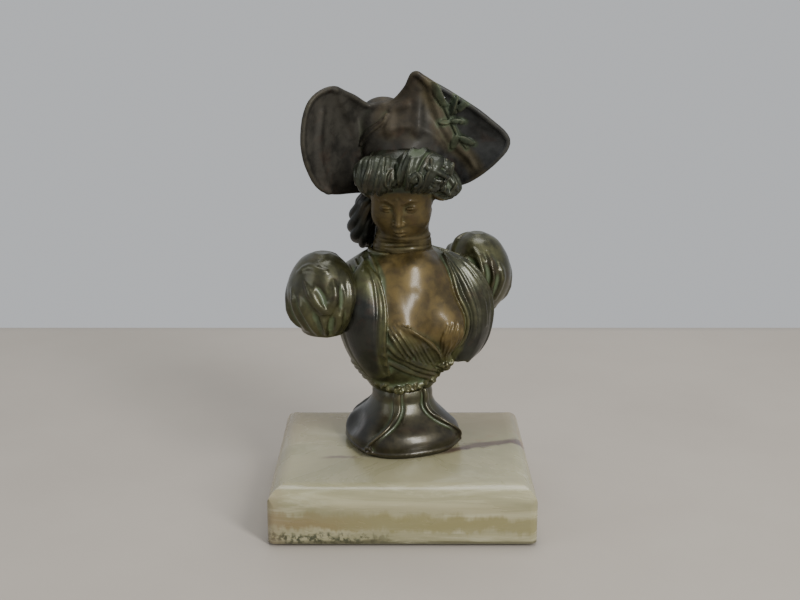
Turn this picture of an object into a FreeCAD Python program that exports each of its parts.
"""Small bronze bust of a lady in a wide upturned hat, on a slab of onyx.

The bust is a stack of castings: socle, bodice, two puffed sleeves, head and hat. One stud from under the
slab draws slab, socle and bodice together, and the whole bust can be turned on the slab about that stud.
The origin is under the middle of the slab, at the level the felt rests on. The slab's front faces -Y, +Z is
up, and the stud stands behind the middle, so that the slab shows more of itself in front of the bust.
"""

import FreeCAD, Part
import Sketcher
import math
import os

Vector = FreeCAD.Vector
UP = Vector(0, 0, 1)

DIMENSIONS = {
    # slab
    "base_width": 88.0, "base_depth": 75.0, "onyx_thickness": 19.0, "felt_thickness": 1.0,
    "felt_inset": 3.0, "edge_round": 6.3, "corner_round": 2.5, "recess_radius": 9.0,
    "recess_depth": 8.0, "bore_radius": 3.0,
    # fastenings
    "stud_back": 6.3, "stud_radius": 2.5, "stud_length": 49.0, "stud_bottom": 2.5, "nut_width": 8.0, "nut_height": 4.0,
    "washer_radius": 7.0, "washer_thickness": 1.2, "dowel_radius": 1.0, "dowel_length": 6.0,
    "dowel_offset": 6.0, "neck_pin_radius": 0.7, "neck_pin_length": 3.6, "screw_radius": 1.5,
    "screw_length": 9.0, "screw_head_radius": 2.5, "screw_head_height": 1.5,
    "hat_pin_radius": 1.2, "hat_pin_length": 12.0,
    # socle
    "foot_half": 19.6, "waist_half": 9.6, "socle_height": 21.0, "wall": 2.4, "socle_yaw": 20.0,
    # bodice and sleeves
    "chest_half": 26.0, "chest_depth": 17.0, "bodice_height": 48.5, "torso_yaw": 30.0,
    "bust_radius": 9.6, "bust_spread": 9.0, "neck_socket_radius": 6.0, "neck_socket_depth": 5.0,
    "sleeve_reach": 30.6, "sleeve_height": 58.5, "sleeve_half": 11.5,
    "tenon_radius": 4.0,
    # head
    "head_height": 29.0, "head_yaw": -8.0, "head_pitch": 24.0, "head_forward": 4.0, "head_level": 90.5,
    # hat
    "hat_span": 66.0, "brim_thickness": 1.8, "brim_cup": 2.2, "crown_radius": 13.0,
    "crown_depth": 14.0, "seat_clearance": 0.35,
}
SIDES = {"right": -1, "left": 1}
# How many points a closed row is carried on past its start, so that its surface meets itself smoothly.
OVERLAP = 3


def make_sheet(doc):
    """The driving dimensions, one named cell each."""
    sheet = doc.addObject("Spreadsheet::Sheet", "dimensions")
    for row, (name, value) in enumerate(DIMENSIONS.items(), start=1):
        sheet.set("A%d" % row, name)
        sheet.set("B%d" % row, str(value))
        sheet.setAlias("B%d" % row, name)
    doc.recompute()
    return sheet


class Levels:
    """Heights, and reaches across the bodice, worked out from the driving dimensions."""

    def __init__(self, d):
        self.slab_top = d.felt_thickness + d.onyx_thickness
        self.waist_joint = self.slab_top + d.socle_height
        self.neck_joint = self.waist_joint + d.bodice_height
        self.stud_top = d.stud_bottom + d.stud_length
        self.sleeve_centre = self.slab_top + d.sleeve_height
        self.head_centre = self.slab_top + d.head_level
        self.screw_seat = d.chest_half - 0.75 * d.wall
        self.socket_floor = d.chest_half - 0.25 * d.wall


# ------------------------------------------------------------ shapes that the castings share


def superellipse(half_x, half_y, centre_x, centre_y, z, power, count=20):
    """Points round a level oval; power 2 is an ellipse and more is squarer."""
    points = []
    for i in range(count):
        angle = 2 * math.pi * i / count
        c, s = math.cos(angle), math.sin(angle)
        x = math.copysign(abs(c) ** (2 / power), c) * half_x
        y = math.copysign(abs(s) ** (2 / power), s) * half_y
        points.append(Vector(centre_x + x, centre_y + y, z))
    return points


def outward(solid):
    """The same solid with its faces outward."""
    if solid.Volume < 0:
        solid.reverse()
    return solid


def smooth_side(rows):
    """A smooth face through closed rows of points, and its two end edges, the shorter first."""
    surface = Part.BSplineSurface()
    surface.interpolate([row[-OVERLAP:] + row + row[:OVERLAP + 1] for row in rows])
    across, around = surface.getUKnots(), surface.getVKnots()
    surface.segment(across[0], across[-1], around[OVERLAP], around[OVERLAP + len(rows[0])])
    face = surface.toShape()
    ends = [edge for edge in face.Edges if edge.isClosed() and not edge.isSeam(face)]
    return face, sorted(ends, key=lambda edge: edge.Length)


def flat_cap(edge):
    """The flat face inside a closed edge."""
    return Part.Face(Part.Wire([edge]))


def solid_of(faces):
    """The solid that a closed set of faces bounds."""
    shell = Part.Shell(faces)
    shell.sewShape()
    return outward(Part.Solid(shell))


def skin(rows):
    """The solid inside a smooth surface through closed rows of points, capped flat at both ends."""
    side, ends = smooth_side(rows)
    return solid_of([side] + [flat_cap(edge) for edge in ends])


def sheet(back_rows, front_rows):
    """The solid between two smooth surfaces, closed by narrow lips along their two edges."""
    back, back_edges = smooth_side(back_rows)
    front, front_edges = smooth_side(front_rows)
    lips = [Part.makeRuledSurface(one, other) for one, other in zip(back_edges, front_edges)]
    return solid_of([back, front] + lips)


def dome(radius, depth, thickness):
    """A round hollow dome that stands on z = 0."""
    def profile(r, h):
        curve = Part.BSplineCurve()
        curve.interpolate([Vector(share * r, 0, rise * h) for share, rise in
                           ((1.06, 0.0), (1.0, 0.42), (0.86, 0.78), (0.52, 0.97), (0.0, 1.0))])
        return curve.toShape()
    outer = profile(radius + thickness / 2, depth + thickness / 2)
    inner = profile(radius - thickness / 2, depth - thickness / 2)
    foot = Part.LineSegment(outer.Vertexes[0].Point, inner.Vertexes[0].Point).toShape()
    top = Part.LineSegment(outer.Vertexes[-1].Point, inner.Vertexes[-1].Point).toShape()
    face = Part.Face(Part.Wire([outer, top, inner, foot]))
    return outward(face.revolve(Vector(0, 0, 0), UP, 360))


def oval_stack(sections, power=2.0, inset=0.0):
    """skin() through level ovals, each (z, half_x, half_y, centre_y)."""
    return skin([superellipse(half_x - inset, half_y - inset, 0, centre_y, z, power)
                 for z, half_x, half_y, centre_y in sections])


def ellipsoid(centre, radii, grow=0.0):
    """An ellipsoid with its axes along x, y and z."""
    matrix = FreeCAD.Matrix()
    matrix.scale(*[radius + grow for radius in radii])
    ball = Part.makeSphere(1.0).transformGeometry(matrix)
    ball.translate(Vector(*centre))
    return ball


def largest(shape):
    """The largest solid of a shape."""
    return max(shape.Solids, key=lambda solid: solid.Volume)


def fused(shapes):
    """One solid from overlapping ones."""
    whole = shapes[0]
    for shape in shapes[1:]:
        whole = largest(whole.fuse(shape))
    return whole


def hanging(points):
    """A solid through level circles, each (x, y, z, radius)."""
    return skin([superellipse(radius, radius, x, y, z, 2.0, count=10) for x, y, z, radius in points])


def rod(radius, start, end):
    """A round bar from start to end."""
    return Part.makeCylinder(radius, (end - start).Length, start, end - start)


def turned(yaw_degrees):
    """The placement of a piece turned about the stud's axis."""
    return FreeCAD.Placement(Vector(0, 0, 0), FreeCAD.Rotation(UP, yaw_degrees))


def head_placement(d, at):
    """The head's own frame: x to its left, -y out of the face, z through the crown."""
    nod = FreeCAD.Rotation(Vector(1, 0, 0), d.head_pitch)
    turn = FreeCAD.Rotation(UP, d.head_yaw)
    return FreeCAD.Placement(Vector(0, -d.head_forward, at.head_centre), turn.multiply(nod))


def feature(doc, label, shape, placement=None):
    """A sub-part whose shape is set here, in its own frame, and then placed."""
    piece = doc.addObject("Part::Feature", label)
    piece.Label = label
    piece.Shape = shape
    if placement is not None:
        piece.Placement = placement
    return piece


# ------------------------------------------------------------ sketches and bodies of the slab


def sketch_on(body, name, height):
    """An empty level sketch whose height is bound to the sheet."""
    sketch = body.newObject("Sketcher::SketchObject", name)
    plane = [f for f in body.Origin.OriginFeatures if f.Role == "XY_Plane"][0]
    sketch.AttachmentSupport = [(plane, "")]
    sketch.MapMode = "FlatFace"
    sketch.setExpression(".AttachmentOffset.Base.z", height)
    return sketch


def bind_last(sketch, expression):
    """Binds the constraint added last to the sheet."""
    sketch.setExpression("Constraints[%d]" % (sketch.ConstraintCount - 1), expression)


def draw_rectangle(sketch, width, depth):
    """A rectangle centred on the origin."""
    corners = [Vector(-10, -8, 0), Vector(10, -8, 0), Vector(10, 8, 0), Vector(-10, 8, 0)]
    for i in range(4):
        sketch.addGeometry(Part.LineSegment(corners[i], corners[(i + 1) % 4]), False)
    for i in range(4):
        sketch.addConstraint(Sketcher.Constraint("Coincident", i, 2, (i + 1) % 4, 1))
    for i in (0, 2):
        sketch.addConstraint(Sketcher.Constraint("Horizontal", i))
        sketch.addConstraint(Sketcher.Constraint("Vertical", i + 1))
    sketch.addConstraint(Sketcher.Constraint("Symmetric", 0, 1, 2, 1, -1, 1))
    sketch.addConstraint(Sketcher.Constraint("DistanceX", 0, 1, 0, 2, 20))
    bind_last(sketch, width)
    sketch.addConstraint(Sketcher.Constraint("DistanceY", 1, 1, 1, 2, 16))
    bind_last(sketch, depth)


def draw_circle(sketch, radius):
    """A circle on the origin."""
    sketch.addGeometry(Part.Circle(Vector(0, 0, 0), UP, 5), False)
    sketch.addConstraint(Sketcher.Constraint("Coincident", 0, 3, -1, 1))
    sketch.addConstraint(Sketcher.Constraint("Radius", 0, 5))
    bind_last(sketch, radius)


def draw_hexagon(sketch, across_flats):
    """A hexagon centred on the origin, two of its sides level."""
    tips = [Vector(5 * math.cos(math.radians(60 * i)), 5 * math.sin(math.radians(60 * i)), 0)
            for i in range(6)]
    for i in range(6):
        sketch.addGeometry(Part.LineSegment(tips[i], tips[(i + 1) % 6]), False)
    for i in range(6):
        sketch.addConstraint(Sketcher.Constraint("Coincident", i, 2, (i + 1) % 6, 1))
    guide = sketch.addGeometry(Part.Circle(Vector(0, 0, 0), UP, 5), True)
    sketch.addConstraint(Sketcher.Constraint("Coincident", guide, 3, -1, 1))
    for i in range(6):
        sketch.addConstraint(Sketcher.Constraint("PointOnObject", i, 1, guide))
    for i in range(5):
        sketch.addConstraint(Sketcher.Constraint("Equal", i, i + 1))
    sketch.addConstraint(Sketcher.Constraint("Horizontal", 1))
    sketch.addConstraint(Sketcher.Constraint("Radius", guide, 5))
    bind_last(sketch, across_flats + " / sqrt(3)")


def pad_of(body, sketch, name, height):
    """A pad whose height is bound to the sheet."""
    pad = body.newObject("PartDesign::Pad", name)
    pad.Profile = sketch
    pad.setExpression("Length", height)
    return pad


def edges_where(shape, test):
    """The names of the straight edges that test() accepts, given an edge's direction and middle."""
    names = []
    for i, edge in enumerate(shape.Edges, start=1):
        start, end = edge.Vertexes[0].Point, edge.Vertexes[-1].Point
        if test((end - start).normalize(), (start + end) * 0.5):
            names.append("Edge%d" % i)
    return names


def rounded_block(doc, name, radius, test):
    """A block of the slab's size with the edges that test() picks rounded."""
    body = doc.addObject("PartDesign::Body", name)
    sketch = sketch_on(body, name + "_outline", "dimensions.felt_thickness")
    draw_rectangle(sketch, "dimensions.base_width", "dimensions.base_depth")
    pad = pad_of(body, sketch, name + "_pad", "dimensions.onyx_thickness")
    doc.recompute()
    fillet = body.newObject("PartDesign::Fillet", name + "_edges")
    fillet.Base = (pad, edges_where(pad.Shape, test))
    fillet.setExpression("Radius", radius)
    doc.recompute()
    return body


def drill(doc, body, name, height, radius, depth, back="0"):
    """A round pocket cut upward from a level, some way behind the body's middle."""
    sketch = sketch_on(body, name + "_circle", height)
    sketch.setExpression(".AttachmentOffset.Base.y", back)
    draw_circle(sketch, radius)
    before = body.Shape.Volume
    pocket = body.newObject("PartDesign::Pocket", name)
    pocket.Profile = sketch
    pocket.Reversed = True
    pocket.setExpression("Length", depth)
    doc.recompute()
    if not body.Shape.Volume < before:
        raise RuntimeError(name + " cuts nothing")


def make_slab(doc, at):
    """The onyx slab: rounded top edges that meet in mitres, a bore, and a recess for the nut."""
    def front_and_back(direction, middle):
        return abs(direction.x) > 0.9 and middle.z > at.slab_top - 1

    def left_and_right(direction, middle):
        return abs(direction.y) > 0.9 and middle.z > at.slab_top - 1

    def upright(direction, _middle):
        return abs(direction.z) > 0.9

    long_block = rounded_block(doc, "slab_front_back", "dimensions.edge_round", front_and_back)
    side_block = rounded_block(doc, "slab_left_right", "dimensions.edge_round", left_and_right)
    plan_block = rounded_block(doc, "slab_plan", "dimensions.corner_round", upright)
    drill(doc, plan_block, "nut_recess", "dimensions.felt_thickness", "dimensions.recess_radius",
          "dimensions.recess_depth", "dimensions.stud_back")
    drill(doc, plan_block, "stud_bore", "dimensions.felt_thickness", "dimensions.bore_radius",
          "dimensions.onyx_thickness", "dimensions.stud_back")
    slab = doc.addObject("Part::MultiCommon", "onyx_base")
    slab.Shapes = [long_block, side_block, plan_block]
    slab.Label = "onyx_base"
    return slab


def make_felt(doc):
    """The felt glued under the slab, a little smaller than it."""
    body = doc.addObject("PartDesign::Body", "felt_pad")
    sketch = sketch_on(body, "felt_outline", "0 mm")
    draw_rectangle(sketch, "dimensions.base_width - 2 * dimensions.felt_inset",
                   "dimensions.base_depth - 2 * dimensions.felt_inset")
    pad_of(body, sketch, "felt_sheet", "dimensions.felt_thickness")
    body.Label = "felt_pad"
    return body


# ------------------------------------------------------------ fastenings


def make_nut(doc):
    """The hexagon nut on the stud's lower end, in the slab's recess."""
    body = doc.addObject("PartDesign::Body", "stud_nut")
    washer_bottom = "dimensions.felt_thickness + dimensions.recess_depth - dimensions.washer_thickness"
    sketch = sketch_on(body, "nut_outline", washer_bottom + " - dimensions.nut_height")
    draw_hexagon(sketch, "dimensions.nut_width")
    pad_of(body, sketch, "nut_block", "dimensions.nut_height")
    doc.recompute()
    drill(doc, body, "nut_thread", washer_bottom + " - dimensions.nut_height",
          "dimensions.stud_radius", "dimensions.nut_height")
    body.Label = "stud_nut"
    return body


def make_washer(doc):
    """The washer between the nut and the roof of the recess."""
    under_roof = "dimensions.felt_thickness + dimensions.recess_depth - dimensions.washer_thickness"
    disc = doc.addObject("Part::Cylinder", "washer_disc")
    hole = doc.addObject("Part::Cylinder", "washer_hole")
    for cylinder, radius in ((disc, "dimensions.washer_radius"), (hole, "dimensions.bore_radius")):
        cylinder.setExpression("Radius", radius)
        cylinder.setExpression("Height", "dimensions.washer_thickness")
        cylinder.setExpression(".Placement.Base.z", under_roof)
    washer = doc.addObject("Part::Cut", "stud_washer")
    washer.Base = disc
    washer.Tool = hole
    washer.Label = "stud_washer"
    return washer


def make_stud(doc):
    """The stud from the nut up into the bodice's boss."""
    bar = doc.addObject("Part::Cylinder", "stud_bar")
    bar.setExpression("Radius", "dimensions.stud_radius")
    bar.setExpression("Height", "dimensions.stud_length")
    bar.setExpression(".Placement.Base.z", "dimensions.stud_bottom")
    doc.recompute()
    stud = doc.addObject("Part::Chamfer", "centre_stud")
    stud.Base = bar
    ends = [i for i, edge in enumerate(bar.Shape.Edges, start=1) if edge.isClosed() and
            abs(edge.BoundBox.ZLength) < 1e-6]
    stud.Edges = [(i, 0.5, 0.5) for i in ends]
    stud.Label = "centre_stud"
    return stud


def make_dowel(doc):
    """The dowel that keeps the bodice from turning on the socle."""
    dowel = doc.addObject("Part::Cylinder", "waist_dowel")
    dowel.setExpression("Radius", "dimensions.dowel_radius")
    dowel.setExpression("Height", "dimensions.dowel_length")
    dowel.setExpression(".Placement.Base.y", "dimensions.stud_back + dimensions.dowel_offset")
    dowel.setExpression(".Placement.Base.z", "dimensions.felt_thickness + dimensions.onyx_thickness"
                        " + dimensions.socle_height - dimensions.dowel_length / 2")
    dowel.Label = "waist_dowel"
    return dowel


def dowel_space(d, at):
    """The hole both castings have for the dowel, in the slab's frame."""
    foot = Vector(0, d.dowel_offset, at.waist_joint - d.dowel_length / 2)
    return rod(d.dowel_radius, foot, foot + UP * d.dowel_length)


def neck_pin_shapes(d, at):
    """Two short pins from the bodice's collar into the neck, in the torso's frame."""
    z = at.neck_joint - d.neck_socket_depth / 2
    pins = []
    for side in SIDES.values():
        inner = Vector(side * (d.neck_socket_radius - d.neck_pin_length / 2), 0, z)
        outer = Vector(side * (d.neck_socket_radius + d.neck_pin_length / 2), 0, z)
        pins.append(rod(d.neck_pin_radius, inner, outer))
    return pins


def sleeve_screw_shapes(d, at):
    """The screws from inside the bodice into the sleeves, heads on the inner wall."""
    screws = []
    for side in SIDES.values():
        along = Vector(side, 0, 0)
        under_head = Vector(side * at.screw_seat, 0, at.sleeve_centre)
        shank = rod(d.screw_radius, under_head, under_head + along * d.screw_length)
        head = rod(d.screw_head_radius, under_head - along * d.screw_head_height, under_head)
        screws.append(largest(shank.fuse(head)))
    return screws


# ------------------------------------------------------------ castings


def socle_sections(d, at):
    """The socle's sections from the foot to the joint under the waist, as (z, half, half, 0)."""
    shape = [(0.0, 0.94), (0.10, 1.0), (0.24, 0.965), (0.40, 0.76), (0.55, 0.585), (0.70, 0.49),
             (0.80, None), (1.0, 0.535)]
    rows = []
    for height, share in shape:
        half = d.waist_half if share is None else share * d.foot_half
        rows.append((at.slab_top + height * d.socle_height, half, half, 0))
    return rows


def make_socle(doc, d, at):
    """The flared socle, hollow from below, with two tendril ribs, a bore and a dowel hole."""
    rows = socle_sections(d, at)
    ribs = [hanging([(side * 0.80 * half, -0.80 * half, z, 1.5) for z, half, _deep, _middle in rows[1:]])
            for side in SIDES.values()]
    body = fused([oval_stack(rows, power=3.2)] + ribs)
    hollow = oval_stack(rows[:6], power=3.0, inset=d.wall)
    bore = rod(d.stud_radius + 0.15, Vector(0, 0, at.slab_top), Vector(0, 0, at.waist_joint + 1))
    drilled = dowel_space(d, at)
    drilled.rotate(Vector(0, 0, 0), UP, -d.socle_yaw)
    shape = body.cut(hollow).cut(bore).cut(drilled)
    return feature(doc, "socle_casting", largest(shape), turned(d.socle_yaw))


def torso_sections(d, at):
    """The bodice's sections from the waist to the neck, as (z, half width, half depth, middle)."""
    shape = [(0.0, 0.46, 0.64, 0.0), (0.09, 0.57, 0.74, 0.0), (0.19, 0.70, 0.86, -0.02),
             (0.31, 0.83, 0.95, -0.05), (0.45, 0.94, 1.0, -0.09), (0.60, 1.0, 0.97, -0.09),
             (0.74, 1.03, 0.85, -0.04), (0.86, 0.95, 0.70, 0.02), (0.94, 0.72, 0.61, 0.05),
             (1.0, 0.40, 0.56, 0.05)]
    return [(at.waist_joint + height * d.bodice_height, wide * d.chest_half, deep * d.chest_depth,
             middle * d.chest_depth) for height, wide, deep, middle in shape]


def lapel_shape(d, at, side):
    """One wide revers: a curved leaf from the neck, out over the chest and down to the waist."""
    outline = [  # height up the bodice, inner and outer edge across it, and how far forward
        (0.98, 0.38, 0.50, 0.42, 0.30), (0.86, 0.36, 0.86, 0.80, 0.55), (0.68, 0.34, 1.08, 1.12, 0.72),
        (0.50, 0.36, 1.10, 1.22, 0.78), (0.32, 0.34, 0.96, 1.02, 0.70), (0.15, 0.28, 0.68, 0.86, 0.62)]
    rows = []
    for height, inner, outer, inner_out, outer_out in outline:
        z = at.waist_joint + height * d.bodice_height
        a = Vector(side * inner * d.chest_half, -inner_out * d.chest_depth, z)
        b = Vector(side * outer * d.chest_half, -outer_out * d.chest_depth, z)
        row = []
        for i in range(12):
            angle = 2 * math.pi * i / 12
            along = 0.5 - 0.5 * math.cos(angle)
            bulge = Vector(0, -0.10 * d.chest_depth * math.sin(math.pi * along), 0)
            thick = Vector(0, side * 1.1 * math.sin(angle), 0)
            row.append(a + (b - a) * along + bulge + thick)
        rows.append(row)
    return skin(rows)


def sash_shapes(d, at):
    """The folded sash round the waist and the knot at its front."""
    bulge = [(0.05, 0.2), (0.10, 1.3), (0.16, 1.6), (0.22, 1.4), (0.28, 0.2)]
    rows = []
    for height, grow in bulge:
        half_x = (0.50 + 1.12 * height) * d.chest_half + grow
        half_y = (0.68 + 0.92 * height) * d.chest_depth + grow
        rows.append((at.waist_joint + height * d.bodice_height, half_x, half_y, 0))
    knot = ellipsoid((1.5, -0.98 * d.chest_depth, at.waist_joint + 0.25 * d.bodice_height), (4.0, 4.5, 3.6))
    return [oval_stack(rows, power=2.2), knot]


def bodice_outside(d, at):
    """The bodice before it is hollowed and drilled."""
    rows = torso_sections(d, at)
    bust_level = at.waist_joint + 0.50 * d.bodice_height
    radii = (d.bust_radius, d.bust_radius * 0.92, d.bust_radius)
    parts = [oval_stack(rows, power=2.3)] + sash_shapes(d, at)
    for side in SIDES.values():
        parts.append(ellipsoid((side * d.bust_spread, -0.80 * d.chest_depth, bust_level), radii))
        parts.append(lapel_shape(d, at, side))
    return fused(parts)


def bodice_shape(d, at, outside):
    """The bodice: a hollow shell with a tapped boss at the waist and a socket at the neck."""
    boss_top = Vector(0, 0, at.stud_top + 0.5)
    neck_foot = Vector(0, 0, at.neck_joint - d.neck_socket_depth)
    drilled = dowel_space(d, at)
    drilled.rotate(Vector(0, 0, 0), UP, -d.torso_yaw)
    spaces = [oval_stack(torso_sections(d, at)[3:8], power=2.3, inset=d.wall),
              rod(d.stud_radius, Vector(0, 0, at.waist_joint - 1), boss_top),
              rod(d.neck_socket_radius, neck_foot, neck_foot + UP * 2 * d.neck_socket_depth),
              rod(d.neck_socket_radius - 2, neck_foot - UP * 8, neck_foot + UP), drilled]
    spaces += neck_pin_shapes(d, at)
    for side in SIDES.values():
        along = Vector(side, 0, 0)
        floor = Vector(side * at.socket_floor, 0, at.sleeve_centre)
        seat = Vector(side * at.screw_seat, 0, at.sleeve_centre)
        spaces.append(rod(d.tenon_radius, floor, floor + along * 8))
        spaces.append(rod(d.screw_radius, seat, floor))
        spaces.append(rod(d.screw_head_radius + 0.3, seat - along * 8, seat))
    shape = outside
    for space in spaces:
        shape = shape.cut(space)
    return largest(shape)


def sleeve_shape(d, at, side, outside):
    """One puffed sleeve: a ball gathered at the cuff, with a tapped tenon for the arm socket."""
    half = d.sleeve_half
    along = Vector(side, 0, 0)
    centre = Vector(side * d.sleeve_reach, 0, at.sleeve_centre)
    floor = Vector(side * at.socket_floor, 0, at.sleeve_centre)
    sections = [(-1.22, 0.50), (-0.90, 0.83), (-0.50, 0.99), (-0.10, 1.04), (0.30, 1.01),
                (0.70, 0.84), (1.05, 0.52), (1.22, 0.20)]
    rows = [superellipse(share * half * 0.96, share * half * 1.12, centre.x, 0, centre.z + height * half,
                         2.1) for height, share in sections]
    puff = largest(skin(rows).cut(outside))
    whole = fused([puff, rod(d.tenon_radius, floor, centre)])
    return largest(whole.cut(rod(d.screw_radius, floor, floor + along * (d.screw_length - 1))))


def scaled(size, masses):
    """Centres and radii given in shares of the head's height, in mm."""
    return [([size * c for c in centre], [size * r for r in radii]) for centre, radii in masses]


def face_masses(size):
    """The face and the nose, in the head's frame."""
    face = ((0, -0.085, -0.12), (0.34, 0.32, 0.37))
    nose = ((0, -0.42, -0.12), (0.055, 0.09, 0.11))
    return scaled(size, [face, nose])


def hair_masses(size):
    """The skull under its hair, two rolls over the brow, the side curls and the nape."""
    skull = [((0, 0.03, 0.10), (0.38, 0.42, 0.39)), ((0, 0.10, 0.21), (0.43, 0.34, 0.30))]
    rolls = [((-0.24, -0.255, 0.365), (0.26, 0.205, 0.19)), ((0.24, -0.24, 0.42), (0.28, 0.225, 0.235))]
    sides = [((0.48, 0.02, 0.08), (0.17, 0.17, 0.17)), ((-0.36, 0.06, 0.08), (0.14, 0.20, 0.21))]
    nape = ((0, 0.24, -0.16), (0.30, 0.22, 0.30))
    return scaled(size, skull + rolls + sides + [nape])


def neck_shapes(d, at):
    """The neck with its choker, and the spigot below it, in the slab's frame."""
    sections = [(0, 9.7), (3, 9.3), (6, 9.0), (9, 8.7), (12, 8.5), (15, 8.4)]
    neck = hanging([(0.05 * rise, 0.9 - 0.22 * rise, at.neck_joint + rise, radius)
                    for rise, radius in sections])
    foot = Vector(0, 0, at.neck_joint - d.neck_socket_depth)
    return [neck, rod(d.neck_socket_radius, foot, foot + UP * (d.neck_socket_depth + 3))]


def lock_shape(at):
    """The ringlet that hangs behind the right ear onto the shoulder, in the slab's frame."""
    sections = [(-10.2, 3.5, 18.5, 2.6), (-12.0, 4.8, 14.0, 3.5), (-13.4, 6.2, 9.5, 4.2),
                (-13.6, 7.2, 5.0, 4.2), (-12.8, 8.0, 0.8, 3.4)]
    return hanging([(x, y, at.neck_joint + rise, radius) for x, y, rise, radius in sections])


def head_shape(d, at, place, bodice):
    """Head and hair in one hollow casting, in the head's frame."""
    to_head = place.inverse().toMatrix()
    size = d.head_height
    masses = hair_masses(size) + face_masses(size)
    upper = fused([ellipsoid(centre, radii) for centre, radii in masses])
    lower = [shape.transformed(to_head) for shape in neck_shapes(d, at) + [lock_shape(at)]]
    whole = fused([upper] + lower)
    low = Vector(0, 0, at.neck_joint - d.neck_socket_depth - 1)
    throat = rod(d.neck_socket_radius - 2.5, low, Vector(0, -2, at.head_centre))
    cavity = ellipsoid((0, 0.03 * size, 0.08 * size), (0.24 * size, 0.28 * size, 0.28 * size))
    pins = Part.makeCompound(neck_pin_shapes(d, at))
    pins.rotate(Vector(0, 0, 0), UP, d.torso_yaw)
    body_space = bodice.copy()
    body_space.rotate(Vector(0, 0, 0), UP, d.torso_yaw)
    shape = whole.cut(cavity)
    for space in (throat, pins, body_space):
        shape = shape.cut(space.transformed(to_head))
    return largest(shape)


# ------------------------------------------------------------ hat


# The rim of the hat, in shares of half its span: across, toward the nape, and backward along the crown.
HAT_RIM = [(1.02, -0.24, -0.04), (0.76, -0.48, 0.05), (0.44, -0.64, 0.19), (0.11, -0.83, 0.28),
           (-0.09, -0.57, 0.22), (-0.30, -0.46, 0.22), (-0.55, -0.62, 0.18), (-0.77, -0.80, 0.08),
           (-0.97, -0.64, -0.17), (-0.98, -0.32, -0.39), (-0.83, 0.07, -0.43), (-0.45, 0.36, -0.15),
           (0.0, 0.59, 0.09), (0.39, 0.45, 0.01), (0.64, 0.25, -0.12), (0.91, -0.02, -0.11)]


def hat_placement(at):
    """The hat's own frame: z backward and up through the crown, -y up the brim."""
    return FreeCAD.Placement(Vector(1.0, 1.5, at.slab_top + 101.5), FreeCAD.Rotation(Vector(1, 0, 0), -56))


def ring_row(radius, count):
    """Points round the crown's foot, starting by the rim's first point."""
    return [Vector(radius * math.cos(a), -radius * math.sin(a), 0)
            for a in [2 * math.pi * (i + 0.5) / count for i in range(count)]]


def brim_rows(d, side):
    """Closed rows from the crown out to the rim, on the brim's back (1) or front (-1)."""
    half = d.hat_span / 2
    rows = []
    for share in (0.0, 0.25, 0.5, 0.75, 1.0):
        offset = UP * (d.brim_cup * math.sin(math.pi * share) + side * d.brim_thickness / 2)
        rows.append([start + (Vector(*rim) * half - start) * share + offset
                     for start, rim in zip(ring_row(d.crown_radius, len(HAT_RIM)), HAT_RIM)])
    return rows


def head_clearance(d):
    """The room the hat leaves for the head, in the head's frame."""
    size = d.head_height
    masses = hair_masses(size) + face_masses(size)
    return fused([ellipsoid(centre, radii, grow=d.seat_clearance) for centre, radii in masses])


def hat_shape(d, place, head_place):
    """The hat: a crown and a wide brim turned up all round, with a boss that meets the head."""
    boss = rod(3.0 * d.hat_pin_radius, Vector(0, 0, 0), UP * d.crown_depth)
    crown = dome(d.crown_radius, d.crown_depth, d.brim_thickness)
    shape = fused([sheet(brim_rows(d, 1), brim_rows(d, -1)), crown, boss])
    to_hat = place.inverse().multiply(head_place).toMatrix()
    shape = largest(shape.cut(head_clearance(d).transformed(to_hat)))
    return largest(shape.cut(hat_pin_shape(d)))


def hat_pin_shape(d):
    """The pin through the crown's boss into the back of the head, in the hat's frame."""
    top = UP * (d.crown_depth - 1.0)
    return rod(d.hat_pin_radius, top - UP * d.hat_pin_length, top)


# ------------------------------------------------------------ the whole bust


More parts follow.
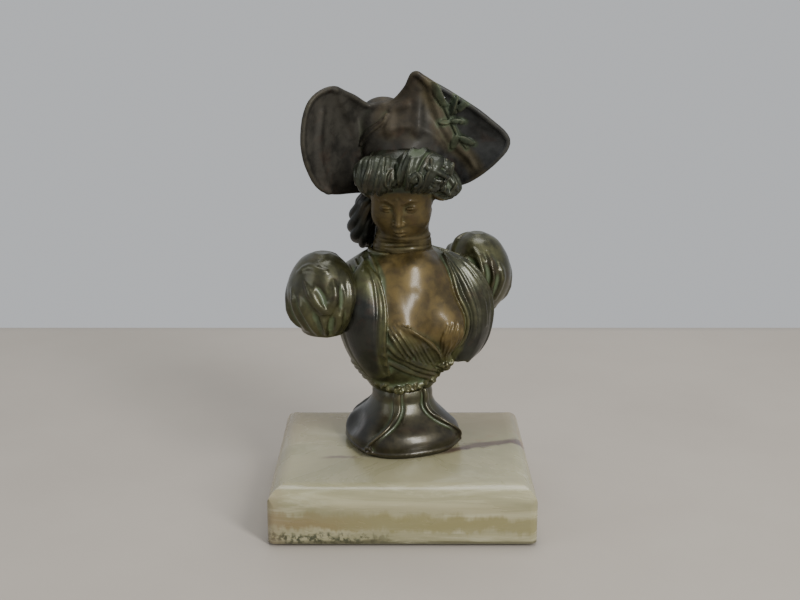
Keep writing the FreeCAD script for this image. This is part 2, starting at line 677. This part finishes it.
def make_bust(doc, d, at):
    """Every casting of the bust with its pins and screws."""
    outside = bodice_outside(d, at)
    bodice = bodice_shape(d, at, outside)
    torso = turned(d.torso_yaw)
    head_place = head_placement(d, at)
    hat_place = hat_placement(at)
    head = head_shape(d, at, head_place, bodice)
    hat_space = hat_pin_shape(d).transformed(head_place.inverse().multiply(hat_place).toMatrix())
    head = largest(head.cut(hat_space))
    pieces = [make_socle(doc, d, at), feature(doc, "bodice_casting", bodice, torso)]
    for name, side in SIDES.items():
        pieces.append(feature(doc, name + "_sleeve", sleeve_shape(d, at, side, outside), torso))
    pieces.append(feature(doc, "head_casting", head, head_place))
    hat = hat_shape(d, hat_place, head_place)
    pieces.append(feature(doc, "hat_casting", hat, hat_place))
    pieces.append(feature(doc, "hat_pin", hat_pin_shape(d), hat_place))
    pieces.append(feature(doc, "neck_pins", Part.makeCompound(neck_pin_shapes(d, at)), torso))
    screws = Part.makeCompound(sleeve_screw_shapes(d, at))
    pieces.append(feature(doc, "sleeve_screws", screws, torso))
    return pieces


def stand_back(pieces):
    """Moves pieces made round the origin onto the stud's axis."""
    for piece in pieces:
        made_at = piece.Placement.Base.y
        piece.setExpression(".Placement.Base.y", "dimensions.stud_back + %g" % made_at)


def export(pieces):
    """Checks each piece and writes it to its own STEP file."""
    for piece in pieces:
        if {"Invalid", "Error"} & set(piece.State):
            raise RuntimeError(piece.Label + " failed to compute")
        if piece.Shape.isNull() or not piece.Shape.isValid():
            raise RuntimeError(piece.Label + " has no valid shape")
    os.makedirs("parts", exist_ok=True)
    for piece in pieces:
        piece.Shape.exportStep(os.path.join("parts", piece.Label + ".step"))


def main():
    doc = FreeCAD.newDocument("bust")
    d = make_sheet(doc)
    at = Levels(d)
    pieces = [make_slab(doc, at), make_felt(doc), make_dowel(doc)]
    on_axis = [make_stud(doc), make_nut(doc), make_washer(doc)] + make_bust(doc, d, at)
    doc.recompute()
    stand_back(on_axis)
    doc.recompute()
    export(pieces + on_axis)


main()
